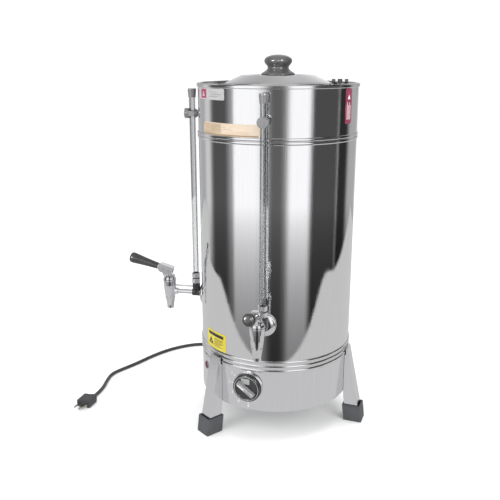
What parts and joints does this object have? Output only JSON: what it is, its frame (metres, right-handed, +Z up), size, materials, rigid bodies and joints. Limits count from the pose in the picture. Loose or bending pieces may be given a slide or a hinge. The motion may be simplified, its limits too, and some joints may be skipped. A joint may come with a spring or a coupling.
{
  "type": "coffee urn",
  "caption": "Tall polished-steel electric coffee urn on splayed legs, with lever taps, upright level glasses, a knobbed lid, a dial on its base and a mains lead.",
  "frame": {"origin": "on the counter under the urn's axis, midway between the three feet", "axes": "+Z up along the urn's axis; -Y towards the front tap; -X towards the left tap"},
  "size_m": [0.5791, 0.6183, 0.6922],
  "materials": {
    "polished_steel": "mirror polish with faint upright brushing",
    "plain_steel": "satin stainless sheet",
    "heater_sheath": "dull tubular heater sheath",
    "brass": "turned brass",
    "label_stock": "printed label stock",
    "chrome": "bright plating",
    "zinc_screws": "zinc plated",
    "black_plastic": "glossy moulded black",
    "red_lens": "red lamp lens",
    "grey_foot": "matt dark grey rubbery plastic",
    "level_glass": "clear tube",
    "cord_jacket": "dark grey flexible jacket",
    "plug_brass": "nickelled brass pins"
  },
  "bodies": {
    "urn": {"base_skirt": "polished_steel", "block_nuts": "chrome", "bottom_cover": "plain_steel", "coffee_vessel": "plain_steel", "cord_coil": "cord_jacket", "cord_gland": "cord_jacket", "cord_lead_in": "cord_jacket", "cord_run": "cord_jacket", "deck_ring": "polished_steel", "element_nuts": "brass", "foot_front_left": "grey_foot", "foot_rear": "grey_foot", "foot_right": "grey_foot", "front_escutcheon": "chrome", "front_holder": "black_plastic", "front_level_block": "black_plastic", "front_shank": "chrome", "front_sight_glass": "level_glass", "front_tap_body": "chrome", "front_tube_cap": "black_plastic", "front_tube_nut": "chrome", "heating_element": "heater_sheath", "holder_studs": "chrome", "labels": "label_stock", "lamp_body": "plain_steel", "lamp_lens": "red_lens", "left_escutcheon": "chrome", "left_holder": "black_plastic", "left_level_block": "black_plastic", "left_shank": "chrome", "left_sight_glass": "level_glass", "left_tap_body": "chrome", "left_tube_cap": "black_plastic", "left_tube_nut": "chrome", "leg_front_left": "plain_steel", "leg_rear": "plain_steel", "leg_right": "plain_steel", "outer_shell": "polished_steel", "plug_body": "cord_jacket", "plug_pins": "plug_brass", "shank_locknuts": "brass", "tank_floor": "plain_steel", "thermostat_bezel": "chrome", "thermostat_body": "plain_steel", "thermostat_bulb": "plain_steel", "tie_bars": "chrome", "vessel_flange": "plain_steel"},
    "lid": {"lid": "polished_steel", "lid_knob": "black_plastic", "knob_screw": "zinc_screws"},
    "filler_cap": {"filler_cap": "black_plastic"},
    "dial": {"dial_knob": "black_plastic"},
    "front_lever": {"front_lever_head": "chrome", "front_lever_pins": "zinc_screws", "front_grip": "black_plastic"},
    "front_stem": {"front_valve_stem": "chrome"},
    "left_lever": {"left_lever_head": "chrome", "left_lever_pins": "zinc_screws", "left_grip": "black_plastic"},
    "left_stem": {"left_valve_stem": "chrome"}
  },
  "joints": [
    {"name": "lid_lift", "type": "slide", "parent": "urn", "child": "lid", "axis": [0, 0, 1], "range_m": [0, 0.15]},
    {"name": "filler_cap_lift", "type": "slide", "parent": "urn", "child": "filler_cap", "axis": [0, 0, 1], "range_m": [0, 0.04]},
    {"name": "dial_turn", "type": "hinge", "parent": "urn", "child": "dial", "pos_m": [-0.02971, -0.14601, 0.1075], "axis": [-0.1994, -0.9799, 0], "range_deg": [0, 270]},
    {"name": "front_lever_turn", "type": "hinge", "parent": "urn", "child": "front_lever", "pos_m": [0, -0.228, 0.2795], "axis": [1, 0, 0], "range_deg": [0, 30], "stiffness_Nm_per_rad": 0.6, "springref_deg": -20.05},
    {"name": "left_lever_turn", "type": "hinge", "parent": "urn", "child": "left_lever", "pos_m": [-0.228, 0, 0.2795], "axis": [0, -1, 0], "range_deg": [0, 30], "stiffness_Nm_per_rad": 0.6, "springref_deg": -20.05},
    {"name": "front_stem_lift", "type": "slide", "parent": "urn", "child": "front_stem", "axis": [0, 0, 1], "range_m": [0, 0.0066], "stiffness_N_per_m": 4, "springref_m": 0.0441},
    {"name": "left_stem_lift", "type": "slide", "parent": "urn", "child": "left_stem", "axis": [0, 0, 1], "range_m": [0, 0.0066], "stiffness_N_per_m": 4, "springref_m": 0.0441}
  ],
  "couplings": [
    {"joint": "front_stem_lift", "follows": "front_lever_turn", "m_per_rad": 0.01234},
    {"joint": "left_stem_lift", "follows": "left_lever_turn", "m_per_rad": 0.01234}
  ]
}
